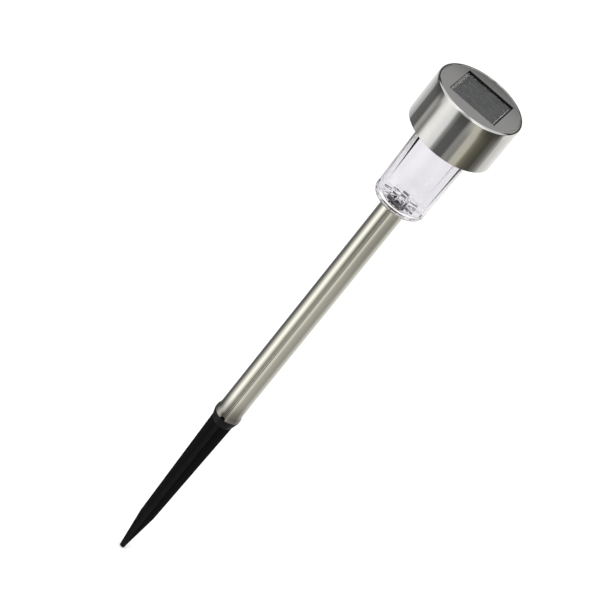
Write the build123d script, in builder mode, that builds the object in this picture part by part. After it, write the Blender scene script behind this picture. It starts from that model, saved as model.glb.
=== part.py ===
from build123d import *
import math
import os

# Stake-mounted solar garden light.
# Frame: origin on the light's axis at the ground line, where the black blade
# meets its collar.  +Z runs up the pole, -Y is the seam side of the tube.
# All sizes are in millimetres.

os.makedirs("parts", exist_ok=True)

# ---------------------------------------------------------------- driving dimensions
TOP_HEIGHT = 250.0          # cap top above the ground line
BLADE_LENGTH = 111.0        # pointed blade below the ground line
CAP_RADIUS = 25.0
CAP_HEIGHT = 27.5
CAP_WALL = 0.4
WINDOW = 28.9               # square window over the solar panel
TUBE_RADIUS = 7.15
TUBE_WALL = 0.5
LENS_FLOOR = 174.5          # underside of the lens floor
LENS_RIM = 229.6            # top edge of the lens, inside the cap
CELL_RADIUS = 5.2           # 2/3 AAA rechargeable cell with its sleeve
CELL_LENGTH = 28.0
WIRE_RADIUS = 0.55

PLUG_GAP = 0.1              # radial gap of every push fit
STOP_GAP = 0.1              # gap left where one push-fit piece rests on the next

# ---------------------------------------------------------------- derived levels and radii
COLLAR_TOP = 6.0
TUBE_BOTTOM = COLLAR_TOP + STOP_GAP
TUBE_TOP = LENS_FLOOR - STOP_GAP
TUBE_BORE = TUBE_RADIUS - TUBE_WALL
PLUG_RADIUS = TUBE_BORE - PLUG_GAP

CAP_BOTTOM = TOP_HEIGHT - CAP_HEIGHT
CAP_BORE = CAP_RADIUS - CAP_WALL
CAP_CEILING = TOP_HEIGHT - CAP_WALL

BASE_LOW = CAP_BOTTOM + 1.0
BASE_THICKNESS = 1.5
BASE_HIGH = BASE_LOW + BASE_THICKNESS
WELL_RADIUS = 16.0          # recess in the base that the lens rim pushes into
WELL_WALL = 1.2
WELL_CEILING = LENS_RIM + STOP_GAP
WELL_TOP = WELL_CEILING + 1.3

SEAL_THICKNESS = 0.6
PANEL_TOP = CAP_CEILING - SEAL_THICKNESS
PANEL_SIZE = 31.0
PANEL_BOARD_THICKNESS = 1.2
RESIN_THICKNESS = 0.8
PANEL_LOW = PANEL_TOP - RESIN_THICKNESS - PANEL_BOARD_THICKNESS
DECK_THICKNESS = 1.5
DECK_LOW = PANEL_LOW - DECK_THICKNESS
TRAY_RADIUS = CAP_BORE - 0.1
SKIRT_WALL = 1.3

SCREW_CIRCLE = 20.8         # radius of the circle of the three base screws
SCREW_ANGLE = 30.0
SCREW_SHANK = 1.1

CELL_Y = -9.0
CELL_Z = 238.0
CONTACT_X = 16.5            # inner face of the walls that hold the contacts
CONTACT_THICKNESS = 0.4

BOARD_LOW = WELL_TOP + 3.0
BOARD_THICKNESS = 1.2
BOARD_TOP = BOARD_LOW + BOARD_THICKNESS
BOARD_SIZE_X = 20.0
BOARD_SIZE_Y = 16.5
BOARD_Y = 5.05
POST_X = 8.3
POST_Y = (-1.5, 11.6)
LEAD_PITCH = 2.54

SWITCH_Y = 9.5
SWITCH_TRAVEL = 2.0


def finish(piece, label):
    """Name a finished piece and write its STEP file."""
    piece.part.label = label
    export_step(piece.part, f"parts/{label}.step")


# ================================================================ ground spike
# Moulded black plastic: crossed blade fins, a flared collar that the tube stands on,
# and a ribbed plug that is pushed into the tube.
BLADE_TOP_RADIUS = 6.6
BLADE_SHOULDER_RADIUS = 4.4
BLADE_SHOULDER = 29.0       # height above the tip where the quick taper starts
BLADE_TIP_RADIUS = 1.2
FIN_THICKNESS = 2.4
COLLAR_RADIUS = 7.95
COLLAR_LIP = 0.6            # straight edge above the collar's cone
PLUG_TOP = 30.0
PLUG_CORE = 3.2
PLUG_LEAD_IN = 1.0

with BuildPart() as ground_spike:
    for fin_plane in (Plane.XZ, Plane.YZ):
        with BuildSketch(fin_plane):
            with BuildLine():
                Polyline(
                    (BLADE_TIP_RADIUS, BLADE_TIP_RADIUS - BLADE_LENGTH),
                    (BLADE_SHOULDER_RADIUS, BLADE_SHOULDER - BLADE_LENGTH),
                    (BLADE_TOP_RADIUS, 0),
                    (0, COLLAR_TOP / 2),
                    (-BLADE_TOP_RADIUS, 0),
                    (-BLADE_SHOULDER_RADIUS, BLADE_SHOULDER - BLADE_LENGTH),
                    (-BLADE_TIP_RADIUS, BLADE_TIP_RADIUS - BLADE_LENGTH),
                )
                ThreePointArc(
                    (-BLADE_TIP_RADIUS, BLADE_TIP_RADIUS - BLADE_LENGTH),
                    (0, -BLADE_LENGTH),
                    (BLADE_TIP_RADIUS, BLADE_TIP_RADIUS - BLADE_LENGTH),
                )
            make_face()
        extrude(amount=FIN_THICKNESS / 2, both=True)
    with BuildSketch(Plane.XZ):
        with BuildLine():
            Polyline(
                (0, 0),
                (BLADE_TOP_RADIUS, 0),
                (COLLAR_RADIUS, COLLAR_TOP - COLLAR_LIP),
                (COLLAR_RADIUS, COLLAR_TOP),
                (0, COLLAR_TOP),
                close=True,
            )
        make_face()
    revolve(axis=Axis.Z)
    with BuildSketch(Plane.XY.offset(COLLAR_TOP)):
        Circle(PLUG_CORE)
        Rectangle(2 * PLUG_RADIUS, FIN_THICKNESS)
        Rectangle(FIN_THICKNESS, 2 * PLUG_RADIUS)
    extrude(amount=PLUG_TOP - COLLAR_TOP)
    # round the plug's rib ends to the bore, with a lead-in at the top
    with BuildSketch(Plane.XZ):
        with BuildLine():
            Polyline(
                (PLUG_RADIUS, COLLAR_TOP),
                (PLUG_RADIUS, PLUG_TOP - 2 * PLUG_LEAD_IN),
                (PLUG_RADIUS - PLUG_LEAD_IN, PLUG_TOP),
                (TUBE_RADIUS, PLUG_TOP),
                (TUBE_RADIUS, COLLAR_TOP),
                close=True,
            )
        make_face()
    revolve(axis=Axis.Z, mode=Mode.SUBTRACT)
finish(ground_spike, "ground_spike")


# ================================================================ pole tube
# Thin stainless strip rolled to a tube.  Its butt seam stays as a narrow slit down
# the front, and the lower end is belled out where the spike is driven in.
BELL_RADIUS = 7.95
BELL_HEIGHT = 4.5
SEAM_WIDTH = 0.25
SEAM_MOUTH = 0.9            # seam groove width at the outer face, between the rolled edges
SEAM_ROLL = 0.3             # depth of the rolled edges
CUT_MARGIN = 0.5            # how far a cutting profile passes the faces that it cuts
NOTCH_WIDTH = 1.6
NOTCH_HEIGHT = 2.6

with BuildPart() as pole_tube:
    with BuildSketch(Plane.XZ):
        with BuildLine():
            Polyline(
                (BELL_RADIUS - TUBE_WALL, TUBE_BOTTOM),
                (BELL_RADIUS, TUBE_BOTTOM),
                (TUBE_RADIUS, TUBE_BOTTOM + BELL_HEIGHT),
                (TUBE_RADIUS, TUBE_TOP),
                (TUBE_BORE, TUBE_TOP),
                (TUBE_BORE, TUBE_BOTTOM + BELL_HEIGHT),
                close=True,
            )
        make_face()
    revolve(axis=Axis.Z)
    # seam: a slit through the wall with rolled-over outer edges
    with BuildSketch(Plane.XY.offset(TUBE_BOTTOM)):
        with BuildLine():
            Polyline(
                (-SEAM_WIDTH / 2, -TUBE_BORE + CUT_MARGIN),
                (-SEAM_WIDTH / 2, -TUBE_RADIUS + SEAM_ROLL),
                (-SEAM_MOUTH / 2, -TUBE_RADIUS),
                (-SEAM_MOUTH / 2, -BELL_RADIUS - CUT_MARGIN),
                (SEAM_MOUTH / 2, -BELL_RADIUS - CUT_MARGIN),
                (SEAM_MOUTH / 2, -TUBE_RADIUS),
                (SEAM_WIDTH / 2, -TUBE_RADIUS + SEAM_ROLL),
                (SEAM_WIDTH / 2, -TUBE_BORE + CUT_MARGIN),
                close=True,
            )
        make_face()
    extrude(amount=TUBE_TOP - TUBE_BOTTOM, mode=Mode.SUBTRACT)
    # the seam opens to a small notch in the belled end
    with BuildSketch(Plane.XZ):
        with BuildLine():
            Polyline(
                (-NOTCH_WIDTH / 2, TUBE_BOTTOM),
                (NOTCH_WIDTH / 2, TUBE_BOTTOM),
                (0, TUBE_BOTTOM + NOTCH_HEIGHT),
                close=True,
            )
        make_face()
    extrude(amount=CAP_RADIUS, mode=Mode.SUBTRACT)
finish(pole_tube, "pole_tube")


# ================================================================ lens cup
# Clear moulded cup: faceted inner wall, a low stepped crystal post with radial petals on
# the floor, and a hollow stub that is pushed into the top of the tube.
LENS_LOW_RADIUS = 14.9
LENS_TOP_RADIUS = 15.8
LENS_WALL = 1.5
LENS_FLOOR_THICKNESS = 1.8
LENS_CORNER = 2.2
FACETS = 16
LIP_RADIUS = 9.0
LIP_HEIGHT = 1.5
LIP_ROUNDING = 0.6
STUB_DEPTH = 14.0
STUB_BORE = 5.0
FLOOR_SKIN = 1.0            # thickness left over the bore of the stub
BORE_CONE_SLOPE = 50        # degrees from upright of the cone at the end of the bore
CRYSTAL_STEPS = ((3.9, 1.3), (3.6, 1.2), (3.3, 1.2), (3.0, 1.1))   # radius, height of each step
PETAL_COUNT = 12
PETAL_CIRCLE = 7.9
PETAL_HEIGHT = 1.2
PETAL_SIZE = (5.2, 2.4)     # length outwards and width
ROOT = 0.8                  # how deep raised details are rooted in the floor

LENS_INSIDE = LENS_FLOOR + LENS_FLOOR_THICKNESS
BORE_CONE_HEIGHT = 0.96 * STUB_BORE / math.tan(math.radians(BORE_CONE_SLOPE))
CORNER_CUT = 2.6            # faceted slope between floor and wall

with BuildPart() as lens_cup:
    with BuildSketch(Plane.XZ):
        with BuildLine():
            Polyline(
                (0, LENS_FLOOR),
                (LENS_LOW_RADIUS, LENS_FLOOR),
                (LENS_TOP_RADIUS, LENS_RIM),
                (0, LENS_RIM),
                close=True,
            )
        make_face()
    revolve(axis=Axis.Z)
    fillet(lens_cup.edges().filter_by(GeomType.CIRCLE).group_by(Axis.Z)[0], LENS_CORNER)
    # faceted inside: a low flaring section, then the tall wall
    for low, high, low_radius, high_radius in (
        (LENS_INSIDE, LENS_INSIDE + CORNER_CUT, LENS_LOW_RADIUS - LENS_WALL - CORNER_CUT,
         LENS_LOW_RADIUS - LENS_WALL),
        (LENS_INSIDE + CORNER_CUT, LENS_RIM, LENS_LOW_RADIUS - LENS_WALL,
         LENS_TOP_RADIUS - LENS_WALL),
    ):
        with BuildSketch(Plane.XY.offset(low)):
            RegularPolygon(low_radius, FACETS)
        with BuildSketch(Plane.XY.offset(high)):
            RegularPolygon(high_radius, FACETS)
        loft(mode=Mode.SUBTRACT)
    # radial petals on the floor around the crystal
    with BuildSketch(Plane.XY.offset(LENS_INSIDE - ROOT)):
        with PolarLocations(PETAL_CIRCLE, PETAL_COUNT, start_angle=180 / PETAL_COUNT):
            RectangleRounded(*PETAL_SIZE, 0.45 * PETAL_SIZE[1])
    extrude(amount=ROOT + PETAL_HEIGHT)
    # stepped crystal post
    step_high = LENS_INSIDE
    for radius, height in CRYSTAL_STEPS:
        step_high += height
        with BuildSketch(Plane.XY.offset(LENS_INSIDE - ROOT)):
            Circle(radius)
        extrude(amount=step_high - LENS_INSIDE + ROOT)
    # lip round the tube end, and the stub inside the tube
    with BuildSketch(Plane.XY.offset(LENS_FLOOR - LIP_HEIGHT)):
        Circle(LIP_RADIUS)
        Circle(TUBE_RADIUS + PLUG_GAP, mode=Mode.SUBTRACT)
    extrude(amount=LIP_HEIGHT)
    lip_edges = lens_cup.edges().filter_by(GeomType.CIRCLE).group_by(Axis.Z)[0]
    fillet(lip_edges.sort_by(SortBy.RADIUS)[-1], LIP_ROUNDING)
    with BuildSketch(Plane.XY.offset(LENS_FLOOR - STUB_DEPTH)):
        Circle(PLUG_RADIUS)
    extrude(amount=STUB_DEPTH)
    with BuildSketch(Plane.XY.offset(LENS_FLOOR - STUB_DEPTH)):
        Circle(STUB_BORE)
    extrude(amount=STUB_DEPTH + LENS_FLOOR_THICKNESS - FLOOR_SKIN, mode=Mode.SUBTRACT)
    # the bore ends in a cone that turns the lamp's light outwards
    with BuildSketch(Plane.XY.offset(LENS_INSIDE - FLOOR_SKIN)):
        Circle(STUB_BORE)
    extrude(amount=BORE_CONE_HEIGHT, taper=BORE_CONE_SLOPE, mode=Mode.SUBTRACT)
finish(lens_cup, "lens_cup")


# ================================================================ cap shell
# Deep-drawn stainless cup, open below, with a square window punched in its top.
CAP_EDGE = 1.6

with BuildPart() as cap_shell:
    with BuildSketch(Plane.XY.offset(CAP_BOTTOM)):
        Circle(CAP_RADIUS)
    extrude(amount=CAP_HEIGHT)
    fillet(cap_shell.edges().group_by(Axis.Z)[-1], CAP_EDGE)
    offset(amount=-CAP_WALL, openings=cap_shell.faces().sort_by(Axis.Z)[0])
    with BuildSketch(Plane.XY.offset(CAP_CEILING - 1)):
        Rectangle(WINDOW, WINDOW)
    extrude(amount=2 * CAP_EDGE, mode=Mode.SUBTRACT)
finish(cap_shell, "cap_shell")


# ================================================================ solar panel
# Backing board, four cell strips and a poured clear resin cover, sealed to the
# underside of the cap by a black frame.
SEAL_OUTER = 33.0
CELL_STRIPS = 4
STRIP_LENGTH = 25.6
STRIP_WIDTH = 6.0
STRIP_PITCH = 6.5
STRIP_THICKNESS = 0.25

with BuildPart() as panel_seal:
    with BuildSketch(Plane.XY.offset(PANEL_TOP)):
        RectangleRounded(SEAL_OUTER, SEAL_OUTER, 3.0)
        Rectangle(WINDOW, WINDOW, mode=Mode.SUBTRACT)
    extrude(amount=SEAL_THICKNESS)
finish(panel_seal, "panel_seal")

with BuildPart() as panel_board:
    with BuildSketch(Plane.XY.offset(PANEL_LOW)):
        Rectangle(PANEL_SIZE, PANEL_SIZE)
    extrude(amount=PANEL_BOARD_THICKNESS)
finish(panel_board, "panel_board")

STRIP_PLANE = Plane.XY.offset(PANEL_LOW + PANEL_BOARD_THICKNESS)

with BuildPart() as solar_cells:
    with BuildSketch(STRIP_PLANE):
        with GridLocations(0, STRIP_PITCH, 1, CELL_STRIPS):
            Rectangle(STRIP_LENGTH, STRIP_WIDTH)
    extrude(amount=STRIP_THICKNESS)
finish(solar_cells, "solar_cells")

with BuildPart() as panel_resin:
    with BuildSketch(STRIP_PLANE):
        Rectangle(PANEL_SIZE, PANEL_SIZE)
    extrude(amount=RESIN_THICKNESS)
    with BuildSketch(STRIP_PLANE):
        with GridLocations(0, STRIP_PITCH, 1, CELL_STRIPS):
            Rectangle(STRIP_LENGTH, STRIP_WIDTH)
    extrude(amount=STRIP_THICKNESS, mode=Mode.SUBTRACT)
finish(panel_resin, "panel_resin")


# ================================================================ holder tray
# Black moulding glued into the cap: deck under the panel, skirt against the shell,
# screw bosses, clips for the cell and walls for its contacts.
RIM_OUTER = 34.0
RIM_INNER = PANEL_SIZE + 0.4
BOSS_RADIUS = 2.5
CLIP_X = 8.0
CLIP_THICKNESS = 1.6
CLIP_HALF_WIDTH = 6.4
CLIP_LOW = CELL_Z - 1.6
CONTACT_WALL = 1.5
CONTACT_WALL_LOW = 233.0
CONTACT_WALL_Y = (-14.0, -1.0)
WIRE_SLOT_Y = 5.0

with BuildPart() as holder_tray:
    with BuildSketch(Plane.XY.offset(DECK_LOW)):
        Circle(TRAY_RADIUS)
    extrude(amount=DECK_THICKNESS)
    with BuildSketch(Plane.XY.offset(BASE_HIGH)):
        Circle(TRAY_RADIUS)
        Circle(TRAY_RADIUS - SKIRT_WALL, mode=Mode.SUBTRACT)
        with PolarLocations(SCREW_CIRCLE, 3, start_angle=SCREW_ANGLE):
            Circle(BOSS_RADIUS)
    extrude(amount=DECK_LOW - BASE_HIGH)
    with BuildSketch(Plane.XY.offset(PANEL_LOW)):
        RectangleRounded(RIM_OUTER, RIM_OUTER, 3.0)
        Rectangle(RIM_INNER, RIM_INNER, mode=Mode.SUBTRACT)
    extrude(amount=PANEL_TOP - PANEL_LOW)
    # clips: cheeks that hang from the deck and grip the cell
    for clip_x in (-CLIP_X, CLIP_X):
        with BuildSketch(Plane.YZ.offset(clip_x)):
            with Locations((CELL_Y, (CLIP_LOW + DECK_LOW) / 2)):
                Rectangle(2 * CLIP_HALF_WIDTH, DECK_LOW - CLIP_LOW)
            with Locations((CELL_Y, CELL_Z)):
                Circle(CELL_RADIUS + 0.05, mode=Mode.SUBTRACT)
        extrude(amount=CLIP_THICKNESS / 2, both=True)
    # walls behind the two contacts
    wall_middle_y = sum(CONTACT_WALL_Y) / 2
    with BuildSketch(Plane.XY.offset(CONTACT_WALL_LOW)):
        with GridLocations(2 * CONTACT_X + CONTACT_WALL, 0, 2, 1):
            with Locations((0, wall_middle_y)):
                Rectangle(CONTACT_WALL, CONTACT_WALL_Y[1] - CONTACT_WALL_Y[0])
    extrude(amount=DECK_LOW - CONTACT_WALL_LOW)
    # slot for the panel wires, and pilot holes for the base screws
    with BuildSketch(Plane.XY.offset(DECK_LOW)):
        with Locations((0, WIRE_SLOT_Y)):
            RectangleRounded(8.0, 3.0, 1.4)
    extrude(amount=DECK_THICKNESS, mode=Mode.SUBTRACT)
    with BuildSketch(Plane.XY.offset(BASE_HIGH)):
        with PolarLocations(SCREW_CIRCLE, 3, start_angle=SCREW_ANGLE):
            Circle(SCREW_SHANK + 0.05)
    extrude(amount=12.0, mode=Mode.SUBTRACT)
finish(holder_tray, "holder_tray")


# ================================================================ base plate
# Black moulding that closes the cap from below.  Its well takes the lens rim, and its
# posts carry the circuit board.
LED_RADIUS = 2.5
LED_HOLE = LED_RADIUS + 0.2
SLOT_LENGTH = 5.2
SLOT_WIDTH = 1.9
POST_RADIUS = 1.4
PEG_RADIUS = 0.8
PEG_HEIGHT = 0.6            # stake head above the board

with BuildPart() as base_plate:
    with BuildSketch(Plane.XY.offset(BASE_LOW)):
        Circle(CAP_BORE - 0.2)
    extrude(amount=BASE_THICKNESS)
    with BuildSketch(Plane.XY.offset(BASE_LOW)):
        Circle(WELL_RADIUS + WELL_WALL)
    extrude(amount=WELL_TOP - BASE_LOW)
    with BuildSketch(Plane.XY.offset(BASE_LOW)):
        Circle(WELL_RADIUS)
    extrude(amount=WELL_CEILING - BASE_LOW, mode=Mode.SUBTRACT)
    with BuildSketch(Plane.XY.offset(WELL_CEILING)):
        Circle(LED_HOLE)
        with Locations((0, SWITCH_Y)):
            RectangleRounded(SLOT_LENGTH, SLOT_WIDTH, 0.4)
    extrude(amount=WELL_TOP - WELL_CEILING, mode=Mode.SUBTRACT)
    with BuildSketch(Plane.XY.offset(BASE_LOW)):
        with PolarLocations(SCREW_CIRCLE, 3, start_angle=SCREW_ANGLE):
            Circle(SCREW_SHANK + 0.15)
    extrude(amount=BASE_THICKNESS, mode=Mode.SUBTRACT)
    post_places = [(x, y) for x in (-POST_X, POST_X) for y in POST_Y]
    with BuildSketch(Plane.XY.offset(WELL_TOP)):
        with Locations(*post_places):
            Circle(POST_RADIUS)
    extrude(amount=BOARD_LOW - WELL_TOP)
    with BuildSketch(Plane.XY.offset(BOARD_LOW)):
        with Locations(*post_places):
            Circle(PEG_RADIUS)
    extrude(amount=BOARD_THICKNESS + PEG_HEIGHT)
finish(base_plate, "base_plate")

HEAD_RADIUS = 2.1
HEAD_HEIGHT = 0.9
SHANK_LENGTH = 9.0
RECESS_WIDTH = 0.6

with BuildPart() as base_screws:
    with BuildSketch(Plane.XY.offset(BASE_LOW)):
        with PolarLocations(SCREW_CIRCLE, 3, start_angle=SCREW_ANGLE):
            Circle(SCREW_SHANK)
    extrude(amount=SHANK_LENGTH)
    with BuildSketch(Plane.XY.offset(BASE_LOW - HEAD_HEIGHT)):
        with PolarLocations(SCREW_CIRCLE, 3, start_angle=SCREW_ANGLE):
            Circle(HEAD_RADIUS)
    extrude(amount=HEAD_HEIGHT)
    fillet(base_screws.edges().group_by(Axis.Z)[0], 0.4)
    with BuildSketch(Plane.XY.offset(BASE_LOW - HEAD_HEIGHT)):
        with PolarLocations(SCREW_CIRCLE, 3, start_angle=SCREW_ANGLE):
            Rectangle(2.2, RECESS_WIDTH)
            Rectangle(RECESS_WIDTH, 2.2)
    extrude(amount=0.6, mode=Mode.SUBTRACT)
finish(base_screws, "base_screws")


# ================================================================ rechargeable cell
# Steel can, plastic sleeve shrunk over its ends, and the raised plus cap.
SLEEVE_WALL = 0.2
SLEEVE_LIP = 1.0
PLUS_RADIUS = 1.9
PLUS_HEIGHT = 1.0
CELL_END_PLANE = Plane(origin=(-CELL_LENGTH / 2, CELL_Y, CELL_Z), z_dir=(1, 0, 0))

with BuildPart() as battery_can:
    with BuildSketch(CELL_END_PLANE):
        Circle(CELL_RADIUS - SLEEVE_WALL - 0.02)
    extrude(amount=CELL_LENGTH)
finish(battery_can, "battery_can")

with BuildPart() as battery_sleeve:
    with BuildSketch(CELL_END_PLANE.offset(-SLEEVE_WALL)):
        Circle(CELL_RADIUS)
    extrude(amount=CELL_LENGTH + 2 * SLEEVE_WALL)
    with BuildSketch(CELL_END_PLANE):
        Circle(CELL_RADIUS - SLEEVE_WALL)
    extrude(amount=CELL_LENGTH, mode=Mode.SUBTRACT)
    with BuildSketch(CELL_END_PLANE.offset(-SLEEVE_WALL)):
        Circle(CELL_RADIUS - SLEEVE_WALL - SLEEVE_LIP)
    extrude(amount=CELL_LENGTH + 2 * SLEEVE_WALL, mode=Mode.SUBTRACT)
finish(battery_sleeve, "battery_sleeve")

with BuildPart() as battery_plus_cap:
    with BuildSketch(CELL_END_PLANE):
        Circle(PLUS_RADIUS)
    extrude(amount=-PLUS_HEIGHT)
    fillet(battery_plus_cap.edges().group_by(Axis.X)[0], 0.3)
finish(battery_plus_cap, "battery_plus_cap")


# ================================================================ cell contacts
# Nickel-plated strips against the tray walls: a dimpled plate on the plus side and a
# plate with a conical coil on the minus side.  A side tab on each takes its wire.
PLATE_Y = (-13.0, -5.0)
PLATE_LOW = 234.0
PLATE_HIGH = 242.0
TAB_END_Y = -1.4
TAB_HALF = 1.6
DIMPLE_RADIUS = 2.2
SPRING_WIRE = 0.3
SPRING_TURNS = 2.0


def contact_outline():
    """Sketch faces of a contact in the plane of its wall: plate and wire tab."""
    with Locations(((PLATE_Y[0] + PLATE_Y[1]) / 2, (PLATE_LOW + PLATE_HIGH) / 2)):
        Rectangle(PLATE_Y[1] - PLATE_Y[0], PLATE_HIGH - PLATE_LOW)
    with Locations(((PLATE_Y[1] - 1 + TAB_END_Y) / 2, CELL_Z + 1)):
        Rectangle(TAB_END_Y - PLATE_Y[1] + 1, 2 * TAB_HALF)


with BuildPart() as contact_plate:
    with BuildSketch(Plane.YZ.offset(-CONTACT_X)):
        contact_outline()
    extrude(amount=CONTACT_THICKNESS)
    with BuildSketch(Plane.YZ.offset(-CONTACT_X + CONTACT_THICKNESS)):
        with Locations((CELL_Y, CELL_Z)):
            Circle(DIMPLE_RADIUS)
    extrude(amount=CONTACT_X - CONTACT_THICKNESS - CELL_LENGTH / 2 - PLUS_HEIGHT, taper=30)
finish(contact_plate, "contact_plate")

SPRING_ROOM = CONTACT_X - CONTACT_THICKNESS - CELL_LENGTH / 2
SPRING_HEIGHT = SPRING_ROOM - 2 * SPRING_WIRE
SPRING_BIG = 3.4
SPRING_CONE = -28.0

with BuildPart() as contact_spring:
    with BuildSketch(Plane.YZ.offset(CONTACT_X - CONTACT_THICKNESS)):
        contact_outline()
    extrude(amount=CONTACT_THICKNESS)
    with BuildLine():
        coil = Helix(
            SPRING_HEIGHT / SPRING_TURNS,
            SPRING_HEIGHT,
            SPRING_BIG,
            center=(CONTACT_X - CONTACT_THICKNESS - 0.8 * SPRING_WIRE, CELL_Y, CELL_Z),
            direction=(-1, 0, 0),
            cone_angle=SPRING_CONE,
        )
    with BuildSketch(Plane(origin=coil @ 0, z_dir=coil % 0)):
        Circle(SPRING_WIRE)
    sweep(path=coil, is_frenet=True)
finish(contact_spring, "contact_spring")


# ================================================================ circuit board
# Small board on the posts of the base plate, with the charge controller, its inductor
# and the solder joints of leads and wires.
CHIP_SIZE = (4.6, 2.0, 3.2)
CHIP_PLACE = (-3.8, 4.2)
INDUCTOR_RADIUS = 1.5
INDUCTOR_LENGTH = 6.4
INDUCTOR_PLACE = (4.0, 4.2)
JOINT_RADIUS = 0.95
JOINT_HEIGHT = 0.7
PANEL_WIRE_X = 6.0
PANEL_WIRE_Y = 9.6
CELL_WIRE_Y = 4.6
LEAD_RADIUS = 0.25

with BuildPart() as circuit_board:
    with BuildSketch(Plane.XY.offset(BOARD_LOW)):
        with Locations((0, BOARD_Y)):
            RectangleRounded(BOARD_SIZE_X, BOARD_SIZE_Y, 0.8)
        with Locations(*post_places):
            Circle(PEG_RADIUS + 0.05, mode=Mode.SUBTRACT)
        with GridLocations(LEAD_PITCH, 0, 2, 1):
            Circle(LEAD_RADIUS + 0.1, mode=Mode.SUBTRACT)
    extrude(amount=BOARD_THICKNESS)
finish(circuit_board, "circuit_board")

with BuildPart() as control_chip:
    with BuildSketch(Plane.XY.offset(BOARD_TOP + 0.8)):
        with Locations(CHIP_PLACE):
            Rectangle(CHIP_SIZE[0], CHIP_SIZE[1])
    extrude(amount=CHIP_SIZE[2])
    chamfer(control_chip.edges().filter_by(Axis.Z).group_by(Axis.Y)[0], 0.4)
    with BuildSketch(Plane.XY.offset(BOARD_TOP)):
        with Locations(CHIP_PLACE):
            with GridLocations(1.27, 0, 4, 1):
                Rectangle(0.45, 0.4)
    extrude(amount=0.8)
finish(control_chip, "control_chip")

INDUCTOR_Z = BOARD_TOP + INDUCTOR_RADIUS + 0.1
with BuildPart() as inductor:
    with BuildSketch(Plane.YZ.offset(INDUCTOR_PLACE[0])):
        with Locations((INDUCTOR_PLACE[1], INDUCTOR_Z)):
            Circle(INDUCTOR_RADIUS)
    extrude(amount=INDUCTOR_LENGTH / 2, both=True)
    fillet(inductor.edges().filter_by(GeomType.CIRCLE), 0.6)
finish(inductor, "inductor")

with BuildPart() as solder_joints:
    joint_places = [(side * PANEL_WIRE_X, PANEL_WIRE_Y) for side in (-1, 1)]
    joint_places += [(side * POST_X, CELL_WIRE_Y) for side in (-1, 1)]
    for joint_x, joint_y in joint_places:
        joint_foot = (joint_x, joint_y, BOARD_TOP)
        with BuildSketch(Plane(origin=joint_foot, x_dir=(1, 0, 0), z_dir=(0, -1, 0))):
            with BuildLine():
                Polyline(
                    (WIRE_RADIUS + 0.02, 0),
                    (JOINT_RADIUS, 0),
                    (WIRE_RADIUS + 0.15, JOINT_HEIGHT),
                    (WIRE_RADIUS + 0.02, JOINT_HEIGHT),
                    close=True,
                )
            make_face()
        revolve(axis=Axis(joint_foot, (0, 0, 1)))
finish(solder_joints, "solder_joints")


# ================================================================ light emitting diode
# 5 mm lamp under the board, its dome looking down into the lens.
LED_FLANGE_TOP = BOARD_LOW - 0.4
LED_FLANGE_HEIGHT = 1.0
LED_LENGTH = 8.8

with BuildPart() as led_lamp:
    with BuildSketch(Plane.XZ):
        with BuildLine():
            dome_level = LED_FLANGE_TOP - LED_LENGTH + LED_RADIUS
            Polyline(
                (0, LED_FLANGE_TOP - LED_LENGTH),
                (0, LED_FLANGE_TOP),
                (LED_RADIUS + 0.4, LED_FLANGE_TOP),
                (LED_RADIUS + 0.4, LED_FLANGE_TOP - LED_FLANGE_HEIGHT),
                (LED_RADIUS, LED_FLANGE_TOP - LED_FLANGE_HEIGHT),
                (LED_RADIUS, dome_level),
            )
            CenterArc((0, dome_level), LED_RADIUS, 270, 90)
        make_face()
    revolve(axis=Axis.Z)
finish(led_lamp, "led_lamp")

with BuildPart() as led_leads:
    with BuildSketch(Plane.XY.offset(LED_FLANGE_TOP)):
        with GridLocations(LEAD_PITCH, 0, 2, 1):
            Circle(LEAD_RADIUS)
    extrude(amount=BOARD_TOP + 0.8 - LED_FLANGE_TOP)
finish(led_leads, "led_leads")


# ================================================================ slide switch
# Fixed case between base plate and board, and the slider whose lever reaches down
# through the slot into the well.
SWITCH_SIZE = (8.6, 4.4)
SLIDER_SIZE = (4.0, 2.6, 1.3)
SLIDER_GAP = 0.12
CAVITY_LOW = WELL_TOP + 0.8
LEVER_SIZE = (1.8, 1.5)
LEVER_LOW = 227.9
SLIDER_REST_X = -SWITCH_TRAVEL / 2

with BuildPart() as switch_body:
    with BuildSketch(Plane.XY.offset(WELL_TOP)):
        with Locations((0, SWITCH_Y)):
            Rectangle(*SWITCH_SIZE)
    extrude(amount=BOARD_LOW - WELL_TOP)
    with BuildSketch(Plane.XY.offset(CAVITY_LOW)):
        with Locations((0, SWITCH_Y)):
            Rectangle(SLIDER_SIZE[0] + SWITCH_TRAVEL + 0.3, SLIDER_SIZE[1] + 2 * SLIDER_GAP)
    extrude(amount=SLIDER_SIZE[2] + 2 * SLIDER_GAP, mode=Mode.SUBTRACT)
    with BuildSketch(Plane.XY.offset(WELL_TOP)):
        with Locations((0, SWITCH_Y)):
            Rectangle(LEVER_SIZE[0] + SWITCH_TRAVEL + 0.5, SLOT_WIDTH)
    extrude(amount=CAVITY_LOW - WELL_TOP, mode=Mode.SUBTRACT)
finish(switch_body, "switch_body")

with BuildPart() as switch_slider:
    with BuildSketch(Plane.XY.offset(CAVITY_LOW + SLIDER_GAP)):
        with Locations((SLIDER_REST_X, SWITCH_Y)):
            Rectangle(SLIDER_SIZE[0], SLIDER_SIZE[1])
    extrude(amount=SLIDER_SIZE[2])
    with BuildSketch(Plane.XY.offset(LEVER_LOW)):
        with Locations((SLIDER_REST_X, SWITCH_Y)):
            Rectangle(*LEVER_SIZE)
    extrude(amount=CAVITY_LOW + SLIDER_GAP - LEVER_LOW)
    chamfer(switch_slider.faces().sort_by(Axis.Z)[0].edges(), 0.25)
finish(switch_slider, "switch_slider")


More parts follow.
